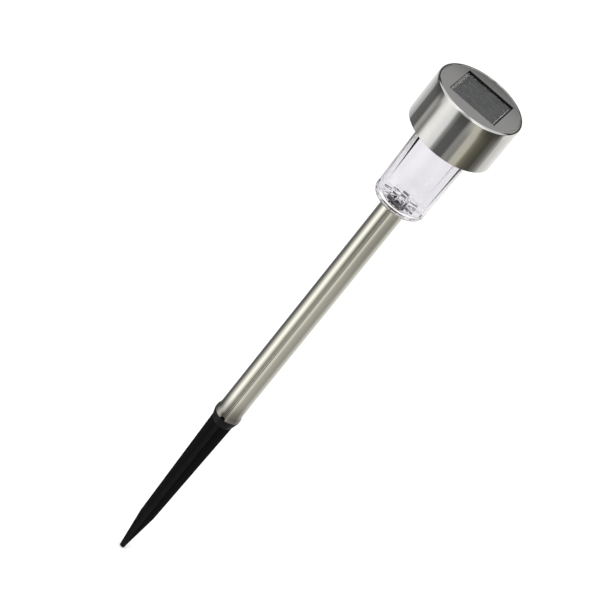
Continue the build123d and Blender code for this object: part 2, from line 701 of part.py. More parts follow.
# ================================================================ hook-up wires
# Panel wires drop through the tray's slot to the board; cell wires cross from the
# contact tabs to the board's sides.
def arc_radii(route):
    """Largest even arc for each corner of a route: 0.45 of the shorter run beside it."""
    radii = []
    for before, corner, after in zip(route, route[1:], route[2:]):
        run_in = Vector(*corner) - Vector(*before)
        run_out = Vector(*after) - Vector(*corner)
        half_turn = math.radians(run_in.get_angle(run_out) / 2)
        radii.append(0.45 * min(run_in.length, run_out.length) / math.tan(half_turn))
    return radii


def hook_up_wire(label, route):
    """Round wire along straight runs joined by tangent arcs."""
    radii = arc_radii(route)
    print(label, "arc radii", [round(radius, 2) for radius in radii])
    with BuildPart() as wire:
        with BuildLine():
            path = FilletPolyline(*route, radius=radii)
        with BuildSketch(Plane(origin=path @ 0, z_dir=path % 0)):
            Circle(WIRE_RADIUS)
        sweep(path=path)
    finish(wire, label)


TAB_Z = CELL_Z + 1
TAB_Y = -2.5
for side, colour in ((1, "red"), (-1, "black")):
    hook_up_wire(f"panel_wire_{colour}", [
        (side * 2.4, WIRE_SLOT_Y, PANEL_LOW),
        (side * 2.4, WIRE_SLOT_Y, PANEL_LOW - 4.5),
        (side * PANEL_WIRE_X, PANEL_WIRE_Y, BOARD_TOP + 4.5),
        (side * PANEL_WIRE_X, PANEL_WIRE_Y, BOARD_TOP),
    ])
for side, colour in ((-1, "red"), (1, "black")):
    hook_up_wire(f"cell_wire_{colour}", [
        (side * (CONTACT_X - CONTACT_THICKNESS), TAB_Y, TAB_Z),
        (side * (CONTACT_X - CONTACT_THICKNESS - 3.8), TAB_Y, TAB_Z),
        (side * POST_X, CELL_WIRE_Y, TAB_Z - 0.4),
        (side * POST_X, CELL_WIRE_Y, BOARD_TOP),
    ])
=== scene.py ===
import math

import bmesh
import bpy
from mathutils import Matrix, Vector


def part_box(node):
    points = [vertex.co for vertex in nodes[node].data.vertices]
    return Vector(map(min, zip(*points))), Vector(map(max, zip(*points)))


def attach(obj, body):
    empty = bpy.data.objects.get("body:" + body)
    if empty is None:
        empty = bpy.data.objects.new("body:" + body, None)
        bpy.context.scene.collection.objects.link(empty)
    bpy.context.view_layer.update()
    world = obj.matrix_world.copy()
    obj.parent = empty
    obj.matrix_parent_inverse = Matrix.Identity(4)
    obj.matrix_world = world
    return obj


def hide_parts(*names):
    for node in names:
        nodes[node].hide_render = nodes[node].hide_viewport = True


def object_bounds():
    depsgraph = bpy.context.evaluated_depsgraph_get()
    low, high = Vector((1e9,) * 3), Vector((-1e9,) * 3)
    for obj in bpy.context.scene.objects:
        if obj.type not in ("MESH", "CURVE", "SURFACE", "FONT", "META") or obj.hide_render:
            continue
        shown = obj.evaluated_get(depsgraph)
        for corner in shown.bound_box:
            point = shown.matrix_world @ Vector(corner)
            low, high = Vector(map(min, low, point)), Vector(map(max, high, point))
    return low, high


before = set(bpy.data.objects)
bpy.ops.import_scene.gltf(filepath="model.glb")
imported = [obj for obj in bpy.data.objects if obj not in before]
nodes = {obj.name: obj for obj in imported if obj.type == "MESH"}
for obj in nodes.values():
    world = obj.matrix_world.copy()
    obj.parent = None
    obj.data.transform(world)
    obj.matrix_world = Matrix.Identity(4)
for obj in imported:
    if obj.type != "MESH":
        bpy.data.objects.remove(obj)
cad_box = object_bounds()
MM = 0.001

# ================================================================ camera
# A long lens looks down at the light from 32 degrees and is rolled over, so the upright
# light lies on the diagonal of the view with its cap at the upper right.
CAMERA_TURN = math.radians(5.0)
CAMERA_TILT = math.radians(32.35)
CAMERA_ROLL = math.radians(38.58)
CAMERA_DISTANCE = 1.4
CAMERA_LENS = 160.2
SENSOR_WIDTH = 36
AIM_ASIDE = -7.92 * MM
AIM_HEIGHT = 91.6 * MM

camera_right = Vector((math.cos(CAMERA_TURN), math.sin(CAMERA_TURN), 0))
level_back = Vector((math.sin(CAMERA_TURN), -math.cos(CAMERA_TURN), 0))
camera_back = level_back * math.cos(CAMERA_TILT) + Vector((0, 0, math.sin(CAMERA_TILT)))
camera_up = camera_back.cross(camera_right)
rolled_right = camera_right * math.cos(CAMERA_ROLL) + camera_up * math.sin(CAMERA_ROLL)
rolled_up = camera_up * math.cos(CAMERA_ROLL) - camera_right * math.sin(CAMERA_ROLL)
aim = camera_right * AIM_ASIDE + Vector((0, 0, AIM_HEIGHT))

bpy.ops.object.select_all(action="DESELECT")
bpy.ops.object.camera_add()
camera = bpy.context.object
camera.name = "product_camera"
camera.data.lens = CAMERA_LENS
camera.data.sensor_width = SENSOR_WIDTH
camera.matrix_world = Matrix.Translation(aim + camera_back * CAMERA_DISTANCE) @ Matrix(
    (rolled_right, rolled_up, camera_back)).transposed().to_4x4()
bpy.context.scene.camera = camera

# ================================================================ studio
# A pale paper floor under a bright even sky, with one large soft lamp overhead.  A tent round
# the light, seen only by mirrors, gives the polished steel its bands, as the cloth and flags
# of a product tent do.  A second, mostly white wall is seen only through the clear lens.
FLOOR_SIZE = 8.0
SKY_STRENGTH = 1.12
SOFTBOX_SIZE = 0.9
SOFTBOX_POWER = 6.0
SOFTBOX_PLACE = (-0.25, -0.45, 1.3)
TENT_RADIUS = 0.30
TENT_LOW = -0.42
TENT_HIGH = 0.62
TENT_SIDES = 96
# heights between which one zone of the tent gives way to the next
TUBE_BANDS_END = (-0.075, -0.025)
NECK_BANDS_END = (0.030, 0.045)
CAP_BANDS_END = (0.0995, 0.105)
UNDER_RIM_END = (0.24, 0.27)
RIM_BANDS_END = (0.375, 0.40)
TOP_BANDS_END = (0.49, 0.51)
# panels of the tent: (degrees round from the camera, brightness, warmth).  Their levels were
# matched to the bands on one real light, so they are right from the camera's side only.
CAP_PANELS = (
    (-165, 0.9, 0), (-148, 0.9, 0), (-120, 0.62, 0), (-112, 0.18, 0), (-89, 0.16, 0), (-81, 0.54, 0.05),
    (-68, 0.32, 0.05), (-55, 1.20, 0.03), (-48, 1.30, 0.03), (-25, 1.06, 0), (-16, 0.32, 0),
    (-9, 0.15, 0), (8, 0.14, 0), (15, 0.37, 0.05), (26, 0.32, 0.08), (33, 0.69, 0.15), (44, 0.70, 0.18),
    (52, 0.26, 0.28), (63, 0.15, 0.28), (77, 0.095, 0.2), (90, 0.19, 0.1), (102, 0.42, 0.05),
    (110, 0.84, 0.04), (140, 1.02, 0.02), (160, 1.15, 0),
)
UNDER_RIM_PANELS = (
    (-165, 0.9, 0), (-150, 0.9, 0), (-130, 0.40, 0), (-118, 0.08, 0), (-88, 0.08, 0), (-76, 0.13, 0),
    (-64, 0.95, 0.03), (-48, 1.30, 0.03), (-27, 1.06, 0), (-17, 0.24, 0), (-9, 0.10, 0), (8, 0.10, 0),
    (20, 0.55, 0.1), (30, 0.75, 0.15), (40, 0.72, 0.16), (48, 0.16, 0.2), (62, 0.07, 0.2), (90, 0.08, 0.1),
    (99, 0.24, 0.1), (106, 1.1, 0.04), (140, 1.1, 0.02), (160, 1.15, 0),
)
TUBE_PANELS = (
    (-175, 0.95, 0), (-160, 0.19, 0), (-118, 0.16, 0), (-104, 0.30, 0), (-93, 0.56, 0), (-80, 0.98, 0),
    (-64, 1.58, 0), (-52, 1.50, 0), (-40, 1.02, 0.03), (-29, 0.50, 0.05), (-17, 0.27, 0.06),
    (-7, 0.22, 0.07), (2, 0.26, 0.06), (12, 1.03, 0.06), (22, 0.88, 0.06), (36, 0.58, 0.06),
    (84, 0.45, 0.06), (96, 0.52, 0.04), (114, 0.76, 0), (134, 0.84, 0), (158, 1.0, 0),
)
NECK_PANELS = (
    (-175, 0.95, 0), (-160, 0.25, 0), (-118, 0.19, 0), (-104, 0.28, 0), (-93, 0.56, 0), (-80, 1.05, 0),
    (-64, 1.6, 0), (-52, 1.48, 0), (-40, 0.82, 0.03), (-30, 0.30, 0.05), (-17, 0.155, 0.06),
    (-7, 0.15, 0.07), (2, 0.24, 0.06), (12, 1.03, 0.06), (22, 0.76, 0.06), (36, 0.48, 0.06),
    (80, 0.36, 0.06), (94, 0.46, 0.04), (114, 0.80, 0), (134, 0.84, 0), (158, 1.0, 0),
)
SCREEN_PANELS = (
    (-180, 1.0, 0), (-122, 0.97, 0), (-111, 0.42, 0), (-99, 0.42, 0), (-88, 0.95, 0), (-40, 1.0, 0),
    (60, 0.97, 0), (100, 0.93, 0), (140, 0.97, 0),
)
RIM_PANELS = (
    (-140, 0.05, 0), (-112, 0.05, 0), (-98, 0.9, 0), (-62, 1.1, 0), (-54, 1.6, 0), (-26, 1.6, 0),
    (-16, 0.5, 0), (10, 0.5, 0), (18, 1.5, 0), (44, 1.6, 0), (60, 1.0, 0), (98, 0.9, 0), (112, 0.05, 0),
)
TOP_PANELS = (
    (-180, 0.42, 0), (-135, 0.42, 0), (-125, 0.05, 0), (-112, 0.05, 0), (-98, 0.9, 0), (98, 0.9, 0),
    (112, 0.05, 0), (125, 0.05, 0), (135, 0.42, 0),
)
CEILING_PANELS = (
    (-180, 0.42, 0), (-125, 0.45, 0), (-98, 0.9, 0), (-62, 1.1, 0), (-54, 1.6, 0), (-26, 1.6, 0),
    (-16, 0.5, 0), (10, 0.5, 0), (18, 1.5, 0), (44, 1.6, 0), (60, 1.0, 0), (98, 0.9, 0), (125, 0.45, 0),
)


def new_material(name, **sockets):
    """A material with a Principled shader; sockets are that shader's inputs by name."""
    material = bpy.data.materials.new(name)
    material.use_nodes = True
    shader = material.node_tree.nodes["Principled BSDF"]
    for socket, value in sockets.items():
        shader.inputs[socket.replace("_", " ")].default_value = value
    return material


def add_node(material, kind, inputs=(), **settings):
    """A shader node with its settings; inputs are pairs of socket and value or output."""
    tree = material.node_tree
    node = tree.nodes.new(kind)
    for setting, value in settings.items():
        setattr(node, setting, value)
    for socket, value in inputs:
        if isinstance(value, bpy.types.NodeSocket):
            tree.links.new(value, node.inputs[socket])
        else:
            node.inputs[socket].default_value = value
    return node


def panel_ramp(material, around, panels):
    """Brightness round the tent, as a colour ramp over the share of a full turn."""
    ramp = add_node(material, "ShaderNodeValToRGB", [("Fac", around)])
    ramp.color_ramp.interpolation = "EASE"
    while len(ramp.color_ramp.elements) < len(panels):
        ramp.color_ramp.elements.new(0.5)
    for element, (degrees, brightness, warmth) in zip(ramp.color_ramp.elements, panels):
        element.position = 0.5 + degrees / 360
        element.color = (brightness, brightness * (1 - warmth / 5), brightness * (1 - warmth), 1)
    return ramp.outputs["Color"]


def change_at_height(material, height, levels, below, above):
    """One colour below the levels and another above them, with a soft change between."""
    share = add_node(material, "ShaderNodeMapRange", [
        ("Value", height), ("From Min", levels[0]), ("From Max", levels[1])],
        interpolation_type="SMOOTHSTEP")
    mix = add_node(material, "ShaderNodeMix", [
        ("Factor", share.outputs["Result"]), ("A", below), ("B", above)], data_type="RGBA")
    return mix.outputs["Result"]


bpy.context.scene.view_settings.view_transform = "Standard"
sky = bpy.data.worlds.new("studio_sky")
sky.use_nodes = True
sky.node_tree.nodes["Background"].inputs["Color"].default_value = (1, 1, 1, 1)
sky.node_tree.nodes["Background"].inputs["Strength"].default_value = SKY_STRENGTH
bpy.context.scene.world = sky

bpy.ops.object.select_all(action="DESELECT")
bpy.ops.mesh.primitive_plane_add(size=FLOOR_SIZE, location=(0, 0, cad_box[0].z))
floor = bpy.context.object
floor.name = "studio_floor"
floor.data.materials.append(new_material("floor_paper", Base_Color=(0.92, 0.92, 0.92, 1), Roughness=0.9))
floor.visible_glossy = False

bpy.ops.object.light_add(type="AREA", location=SOFTBOX_PLACE)
softbox = bpy.context.object
softbox.name = "overhead_softbox"
softbox.data.shape = "DISK"
softbox.data.size = SOFTBOX_SIZE
softbox.data.energy = SOFTBOX_POWER
softbox.rotation_euler = (Vector(SOFTBOX_PLACE) - aim).to_track_quat("Z", "Y").to_euler()


def tent_cloth(name):
    """A glowing cloth, with its place round from the camera and its height to paint it by."""
    cloth = bpy.data.materials.new(name)
    cloth.use_nodes = True
    cloth.node_tree.nodes.remove(cloth.node_tree.nodes["Principled BSDF"])
    place = add_node(cloth, "ShaderNodeTexCoord").outputs["Object"]
    turned_place = add_node(cloth, "ShaderNodeMapping", [
        ("Vector", place), ("Rotation", (0, 0, math.pi / 2 - CAMERA_TURN))])
    around = add_node(cloth, "ShaderNodeTexGradient", [
        ("Vector", turned_place.outputs["Vector"])], gradient_type="RADIAL").outputs["Fac"]
    height = add_node(cloth, "ShaderNodeSeparateXYZ", [("Vector", place)]).outputs["Z"]
    return cloth, around, height


def hang_tent(name, cloth, colour, seen_by, ends):
    """A wall of cloth round the light that only one kind of ray sees."""
    glow = add_node(cloth, "ShaderNodeEmission", [("Color", colour)])
    cloth.node_tree.links.new(glow.outputs["Emission"],
                              cloth.node_tree.nodes["Material Output"].inputs["Surface"])
    bpy.ops.object.select_all(action="DESELECT")
    bpy.ops.mesh.primitive_cylinder_add(
        vertices=TENT_SIDES, radius=TENT_RADIUS, depth=TENT_HIGH - TENT_LOW, end_fill_type=ends,
        location=(0, 0, (TENT_HIGH + TENT_LOW) / 2))
    tent = bpy.context.object
    tent.name = name
    bpy.ops.object.transform_apply(location=True)
    tent.data.materials.append(cloth)
    for ray in ("camera", "diffuse", "glossy", "transmission", "volume_scatter", "shadow"):
        setattr(tent, f"visible_{ray}", ray == seen_by)


mirror_cloth, around, height = tent_cloth("mirror_cloth")
mirrored = panel_ramp(mirror_cloth, around, TUBE_PANELS)
for levels, panels in ((TUBE_BANDS_END, NECK_PANELS), (NECK_BANDS_END, CAP_PANELS),
                       (CAP_BANDS_END, UNDER_RIM_PANELS), (UNDER_RIM_END, RIM_PANELS),
                       (RIM_BANDS_END, TOP_PANELS), (TOP_BANDS_END, CEILING_PANELS)):
    mirrored = change_at_height(mirror_cloth, height, levels, mirrored,
                                panel_ramp(mirror_cloth, around, panels))
hang_tent("mirror_tent", mirror_cloth, mirrored, "glossy", "NGON")
screen_cloth, around, height = tent_cloth("screen_cloth")
hang_tent("lens_screen", screen_cloth, panel_ramp(screen_cloth, around, SCREEN_PANELS),
          "transmission", "NOTHING")

# ================================================================ ground spike
# One moulding of black polypropylene: a blade of two crossed fins that tapers to a blunt
# point, a flared collar that the tube stands on, and a ribbed plug that the tube is
# pushed over.
FIN = 2.4 * MM
FIN_ROUNDING = 0.4 * MM
BLADE_RADIUS = 6.6 * MM
SHOULDER_RADIUS = 4.4 * MM
SHOULDER_ABOVE_TIP = 29 * MM
POINT_RADIUS = 1.5 * MM
POINT_LENGTH = 1.0 * MM
COLLAR_TOP = 6.0 * MM
COLLAR_LIP = 0.6 * MM
PLUG_RADIUS = 6.5 * MM
PLUG_CORE = 3.2 * MM
PLUG_LEAD_IN = 2.0 * MM
COLLAR_ROUNDING = 0.2 * MM
COLLAR_SEGMENTS = 96
CORE_SEGMENTS = 48
POINT_END_SHARE = 0.7
PLUG_END_SHARE = 0.85
NEAR = 0.01 * MM
SAME_POINT = 0.001 * MM


def named(name):
    """Names the piece just added and puts its place into its mesh."""
    piece = bpy.context.object
    piece.name = name
    piece.data.name = name
    bpy.ops.object.transform_apply(location=True, rotation=True, scale=True)
    return piece


def pick(piece, kind, wanted):
    """In edit mode, selects the vertices, edges or faces whose every corner passes a test."""
    bpy.ops.mesh.select_mode(type=kind)
    bpy.ops.mesh.select_all(action="DESELECT")
    work = bmesh.from_edit_mesh(piece.data)
    if kind == "VERT":
        for vertex in work.verts:
            vertex.select_set(wanted(vertex.co))
    else:
        for part in (work.edges if kind == "EDGE" else work.faces):
            if all(wanted(corner.co) for corner in part.verts):
                part.select_set(True)
    work.select_flush(True)
    bmesh.update_edit_mesh(piece.data)


def pull(step, stretch=(1, 1, 1), about=(0, 0, 0)):
    """Extrudes what is selected by a step, and stretches its new end about a point."""
    bpy.ops.mesh.extrude_region_move(TRANSFORM_OT_translate={"value": step})
    if tuple(stretch) != (1, 1, 1):
        bpy.ops.transform.resize(value=stretch, center_override=about)


def clean(piece):
    """Joins doubled points, turns the faces outwards and leaves edit mode."""
    bpy.ops.mesh.select_all(action="SELECT")
    bpy.ops.mesh.remove_doubles(threshold=SAME_POINT)
    bpy.ops.mesh.normals_make_consistent(inside=False)
    bpy.ops.object.mode_set(mode="OBJECT")


def turned(name, outline, segments):
    """A turned piece: an outline of (radius, height) taken round the axis, ring by ring.
    It runs from the axis to the axis, or is a closed loop away from it."""
    on_axis = outline[0][0] == 0
    rings = list(outline[1:]) if on_axis else list(outline) + [outline[0]]
    radius, height = rings[0]
    bpy.ops.object.select_all(action="DESELECT")
    bpy.ops.mesh.primitive_circle_add(vertices=segments, radius=radius, location=(0, 0, height))
    piece = named(name)
    bpy.ops.object.mode_set(mode="EDIT")
    bpy.ops.mesh.select_mode(type="EDGE")
    bpy.ops.mesh.select_all(action="SELECT")
    for next_radius, next_height in rings[1:]:
        share = next_radius / radius
        if next_radius == 0:
            pull((0, 0, next_height - height))
            bpy.ops.mesh.merge(type="CENTER")
            break
        pull((0, 0, next_height - height), (share, share, 1), (0, 0, next_height))
        radius, height = next_radius, next_height
    if on_axis:
        start_radius, start_height = rings[0]
        pick(piece, "EDGE", ring_test(start_radius, start_height))
        pull((0, 0, outline[0][1] - start_height))
        bpy.ops.mesh.merge(type="CENTER")
    clean(piece)
    return piece


def ring_test(radius, height):
    """True for points on one ring round the axis."""
    return lambda point: (abs(point.z - height) < NEAR
                          and abs(math.hypot(point.x, point.y) - radius) < NEAR)


def round_off(piece, wanted, width, segments=3):
    """Rounds the edges that pass a test."""
    bpy.context.view_layer.objects.active = piece
    bpy.ops.object.mode_set(mode="EDIT")
    pick(piece, "EDGE", wanted)
    bpy.ops.mesh.bevel(offset=width, segments=segments, affect="EDGES", clamp_overlap=True)
    bpy.ops.object.mode_set(mode="OBJECT")


def ease(piece, width, segments=3, sharper_than=40):
    """Rounds every edge that is sharper than an angle."""
    easing = piece.modifiers.new("easing", "BEVEL")
    easing.width = width
    easing.segments = segments
    easing.angle_limit = math.radians(sharper_than)
    bpy.ops.object.select_all(action="DESELECT")
    bpy.context.view_layer.objects.active = piece
    bpy.ops.object.modifier_apply(modifier=easing.name)


def combine(piece, tool, operation):
    """Joins a tool shape to a piece, or cuts it away, and removes the tool."""
    joiner = piece.modifiers.new(operation.lower(), "BOOLEAN")
    joiner.operation = operation
    joiner.solver = "EXACT"
    joiner.object = tool
    bpy.ops.object.select_all(action="DESELECT")
    bpy.context.view_layer.objects.active = piece
    bpy.ops.object.modifier_apply(modifier=joiner.name)
    bpy.data.objects.remove(tool)


def smooth(piece, degrees=32, true_faces=True):
    """Smooth shading, with every edge sharper than the angle kept crisp.  With true faces, a
    large face next to a small rounding still shines as the plain face that it is."""
    bpy.ops.object.select_all(action="DESELECT")
    piece.select_set(True)
    bpy.context.view_layer.objects.active = piece
    bpy.ops.object.shade_smooth_by_angle(angle=math.radians(degrees))
    if not true_faces:
        return
    truing = piece.modifiers.new("truing", "WEIGHTED_NORMAL")
    truing.weight = 100
    truing.keep_sharp = True
    bpy.ops.object.modifier_apply(modifier=truing.name)


def fit(piece, body, node, material):
    """Puts a finished piece on its body in place of its CAD node, with its material."""
    piece.data.materials.clear()
    piece.data.materials.append(material)
    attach(piece, body)
    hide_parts(node)


def crossed_fins(name, radius, height):
    """Two crossed strips in a level plane, ready in edit mode to be extruded."""
    bpy.ops.object.select_all(action="DESELECT")
    bpy.ops.mesh.primitive_plane_add(size=FIN, location=(0, 0, height))
    piece = named(name)
    bpy.ops.object.mode_set(mode="EDIT")
    for x, y in ((1, 0), (-1, 0), (0, 1), (0, -1)):
        pick(piece, "EDGE", lambda point: point.x * x + point.y * y > FIN / 2 - NEAR
             and abs(point.x * y + point.y * x) < FIN / 2 + NEAR)
        pull((x * (radius - FIN / 2), y * (radius - FIN / 2), 0))
    bpy.ops.mesh.select_mode(type="FACE")
    bpy.ops.mesh.select_all(action="SELECT")
    return piece


def narrow_fins(piece, height, share):
    """Draws in the fin ends of the level just extruded, keeping the fins' thickness."""
    for axis, stretch in ((0, (share, 1, 1)), (1, (1, share, 1))):
        pick(piece, "VERT", lambda point: abs(point.z - height) < NEAR
             and abs(point[axis]) > FIN / 2 + NEAR)
        bpy.ops.transform.resize(value=stretch, center_override=(0, 0, height))
    pick(piece, "FACE", lambda point: abs(point.z - height) < NEAR)


tip_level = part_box("ground_spike")[0].z
plug_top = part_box("ground_spike")[1].z
shoulder_level = tip_level + SHOULDER_ABOVE_TIP
spike = crossed_fins("spike_moulding", BLADE_RADIUS, COLLAR_TOP / 2)
pull((0, 0, -COLLAR_TOP / 2))
pull((0, 0, shoulder_level))
narrow_fins(spike, shoulder_level, SHOULDER_RADIUS / BLADE_RADIUS)
pull((0, 0, tip_level + POINT_LENGTH - shoulder_level))
narrow_fins(spike, tip_level + POINT_LENGTH, POINT_RADIUS / SHOULDER_RADIUS)
pull((0, 0, -POINT_LENGTH), (POINT_END_SHARE, POINT_END_SHARE, 1), (0, 0, tip_level))
clean(spike)
ease(spike, FIN_ROUNDING)

collar = turned("collar", [
    (0, 0), (BLADE_RADIUS, 0), (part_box("ground_spike")[1].x, COLLAR_TOP - COLLAR_LIP),
    (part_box("ground_spike")[1].x, COLLAR_TOP), (0, COLLAR_TOP)], COLLAR_SEGMENTS)
ease(collar, COLLAR_ROUNDING, sharper_than=30)
combine(spike, collar, "UNION")

plug = crossed_fins("plug", PLUG_RADIUS, COLLAR_TOP - COLLAR_LIP)
pull((0, 0, plug_top - PLUG_LEAD_IN - COLLAR_TOP + COLLAR_LIP))
pull((0, 0, PLUG_LEAD_IN))
narrow_fins(plug, plug_top, PLUG_END_SHARE)
clean(plug)
ease(plug, FIN_ROUNDING)
combine(spike, plug, "UNION")
bpy.ops.object.select_all(action="DESELECT")
bpy.ops.mesh.primitive_cylinder_add(
    vertices=CORE_SEGMENTS, radius=PLUG_CORE, depth=plug_top - COLLAR_TOP,
    location=(0, 0, (plug_top + COLLAR_TOP) / 2 - COLLAR_LIP))
core = named("plug_core")
combine(spike, core, "UNION")
smooth(spike)


def surface(name, colour, roughness, grain=2600, depth=0.01 * MM, spread=0.15, run=(1, 1, 1), **sockets):
    """A finish with a fine grain, and soft patches where its colour and shine change a little.
    The grain is stretched along the axes by run, for drawn or brushed metal."""
    material = new_material(name, **sockets)
    shader = material.node_tree.nodes["Principled BSDF"]
    place = add_node(material, "ShaderNodeTexCoord").outputs["Object"]
    stretched = add_node(material, "ShaderNodeMapping", [("Vector", place), ("Scale", run)])
    grains = add_node(material, "ShaderNodeTexNoise", [
        ("Vector", stretched.outputs["Vector"]), ("Scale", grain), ("Detail", 4), ("Roughness", 0.6)])
    patches = add_node(material, "ShaderNodeTexNoise", [("Vector", place), ("Scale", 70), ("Detail", 3)])
    both = add_node(material, "ShaderNodeMath", [
        (0, grains.outputs["Fac"]), (1, patches.outputs["Fac"])], operation="MULTIPLY")
    share = add_node(material, "ShaderNodeMapRange", [
        ("Value", both.outputs["Value"]), ("From Min", 0.1), ("From Max", 0.45)])
    tone = add_node(material, "ShaderNodeMix", [
        ("Factor", share.outputs["Result"]), ("A", (*(part * (1 - spread) for part in colour), 1)),
        ("B", (*(part * (1 + spread) for part in colour), 1))], data_type="RGBA")
    shine = add_node(material, "ShaderNodeMapRange", [
        ("Value", share.outputs["Result"]), ("To Min", roughness * 0.8), ("To Max", roughness * 1.25)])
    bump = add_node(material, "ShaderNodeBump", [
        ("Height", grains.outputs["Fac"]), ("Strength", 0.3), ("Distance", depth)])
    for output, socket in ((tone.outputs["Result"], "Base Color"), (shine.outputs["Result"], "Roughness"),
                           (bump.outputs["Normal"], "Normal")):
        material.node_tree.links.new(output, shader.inputs[socket])
    return material


fit(spike, "spike", "ground_spike",
    surface("spike_plastic", (0.0045, 0.0045, 0.005), 0.42, depth=0.04 * MM, Specular_IOR_Level=0.1))

# ================================================================ pole tube
# A strip of thin stainless steel rolled into a tube.  Its edges meet in an open butt
# seam down the front, rolled slightly inwards, and the lower end is belled out, with a
# notch where the seam ends.
TUBE_RADIUS = 7.15 * MM
TUBE_WALL = 0.5 * MM
BELL_HEIGHT = 4.5 * MM
BELL_LIP = 0.5 * MM
BELL_RINGS = 7
SEAM_GAP = 0.2 * MM
SEAM_ROLL = 0.32 * MM
NOTCH_HALF = 1.2 * MM
NOTCH_TOP_HALF = 0.8 * MM
TUBE_SEGMENTS = 180
# painted shade at the foot of the tube: where it is full, where it ends, and its colour
FOOT_SHADE_FULL = 1.0 * MM
FOOT_SHADE_END = 17 * MM
FOOT_SHADE_COLOUR = (0.25, 0.245, 0.22, 1)
SEAM_REACH = 2.4 * SEAM_ROLL
TUBE_EDGE_ROUNDING = 0.07 * MM

tube_low, tube_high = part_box("pole_tube")
bpy.ops.object.select_all(action="DESELECT")
bpy.ops.mesh.primitive_circle_add(
    vertices=TUBE_SEGMENTS, radius=TUBE_RADIUS, location=(0, 0, tube_high.z))
tube = named("rolled_tube")
bpy.ops.object.mode_set(mode="EDIT")
pick(tube, "VERT", lambda point: point.y < 0 and abs(point.x) < SEAM_GAP / 2 + SEAM_ROLL)
bpy.ops.mesh.delete(type="VERT")
for side in (1, -1):
    pick(tube, "VERT", lambda point: point.y < 0 and 0 < point.x * side < SEAM_REACH)
    work = bmesh.from_edit_mesh(tube.data)
    ends = [vertex for vertex in work.verts if vertex.select and len(vertex.link_edges) == 1]
    end = min(ends, key=lambda vertex: abs(vertex.co.x))
    start = end.co.copy()
    bpy.ops.mesh.select_all(action="DESELECT")
    end.select_set(True)
    bmesh.update_edit_mesh(tube.data)
    run = abs(start.x) - SEAM_GAP / 2
    for turn, last in ((30, 0), (60, 30), (90, 60)):
        across = run * (math.sin(math.radians(turn)) - math.sin(math.radians(last)))
        inward = SEAM_ROLL * (math.cos(math.radians(last)) - math.cos(math.radians(turn)))
        pull((-side * across, inward, 0))
bpy.ops.mesh.select_mode(type="EDGE")
bpy.ops.mesh.select_all(action="SELECT")
bell_top = tube_low.z + BELL_HEIGHT
bell_share = tube_high.x / TUBE_RADIUS
pull((0, 0, bell_top - tube_high.z))
spread_so_far = 1
for ring in range(1, BELL_RINGS + 1):
    turn = ring / BELL_RINGS
    spread_here = 1 + (bell_share - 1) * turn * turn * (3 - 2 * turn)
    share = spread_here / spread_so_far
    pull((0, 0, (BELL_LIP - BELL_HEIGHT) / BELL_RINGS), (share, share, 1))
    spread_so_far = spread_here
pull((0, 0, -BELL_LIP))
for level, half in ((tube_low.z, NOTCH_HALF), (tube_low.z + BELL_LIP, NOTCH_HALF),
                    (tube_low.z + BELL_LIP + (BELL_HEIGHT - BELL_LIP) / BELL_RINGS, NOTCH_TOP_HALF)):
    pick(tube, "VERT", lambda point: abs(point.z - level) < NEAR
         and point.y < 0 and abs(point.x) < half)
    bpy.ops.mesh.delete(type="VERT")
clean(tube)
wall = tube.modifiers.new("wall", "SOLIDIFY")
wall.thickness = TUBE_WALL
wall.offset = -1
wall.use_even_offset = True
bpy.ops.object.modifier_apply(modifier="wall")
ease(tube, TUBE_EDGE_ROUNDING, 2, 60)
smooth(tube, 40)


def mix_in(material, share, low=None, high=None):
    """Gives a finish a second colour at the low or the high end of a share."""
    socket = material.node_tree.nodes["Principled BSDF"].inputs["Base Color"]
    own_colour = socket.links[0].from_socket
    mixed = add_node(material, "ShaderNodeMix", [
        ("Factor", share), ("A", low or own_colour), ("B", high or own_colour)], data_type="RGBA")
    material.node_tree.links.new(mixed.outputs["Result"], socket)


# painted shade: the steel's colour is darker towards the foot of the tube
tube_finish = surface("tube_steel", (0.64, 0.63, 0.555), 0.11, grain=2600, depth=0.002 * MM, spread=0.03,
                      run=(1, 1, 0.02), Metallic=1.0)
tube_place = add_node(tube_finish, "ShaderNodeTexCoord").outputs["Object"]
tube_height = add_node(tube_finish, "ShaderNodeSeparateXYZ", [("Vector", tube_place)]).outputs["Z"]
above_foot = add_node(tube_finish, "ShaderNodeMapRange", [
    ("Value", tube_height), ("From Min", tube_low.z + FOOT_SHADE_FULL), ("From Max", tube_low.z + FOOT_SHADE_END)],
    interpolation_type="SMOOTHSTEP")
mix_in(tube_finish, above_foot.outputs["Result"], low=FOOT_SHADE_COLOUR)
fit(tube, "pole", "pole_tube", tube_finish)

# ================================================================ lens cup
# A clear moulded plastic cup, round outside and cut in sixteen tall facets inside.  A stepped
# square crystal with a ring of petals stands on its floor.  A lip sits round the end of the
# tube, and a hollow stub is pushed inside it.
LENS_SEGMENTS = 192
FACETS = 16
LENS_LOW_RADIUS = 14.9 * MM
LENS_WALL = 1.5 * MM
LENS_FLOOR = 174.5 * MM
FLOOR_THICKNESS = 1.8 * MM
LENS_CORNER = 2.2 * MM
STUB_RADIUS = 6.55 * MM
STUB_BORE = 5.0 * MM
LIP_INSIDE = 7.25 * MM
LIP_RADIUS = 9.0 * MM
LIP_HEIGHT = 1.5 * MM
INSIDE_CORNER = 2.6 * MM
FLOOR_SKIN = 1.0 * MM
BORE_CONE = 4.03 * MM
CRYSTAL_STEPS = ((3.9, 1.3), (3.6, 1.2), (3.3, 1.2), (3.0, 1.1))      # radius, height of each, in mm
CRYSTAL_GROOVE = 0.35 * MM
CRYSTAL_TURN = math.radians(45)
CRYSTAL_ROUNDING = 0.12 * MM
PETALS = 12
PETAL_CIRCLE = 7.6 * MM
PETAL_HALF = (2.8 * MM, 1.5 * MM, 1.4 * MM)
LIP_ROUNDING = 0.6 * MM
RIM_ROUNDING = 0.3 * MM
STUB_ROUNDING = 0.5 * MM
FACET_ROUNDING = 0.3 * MM
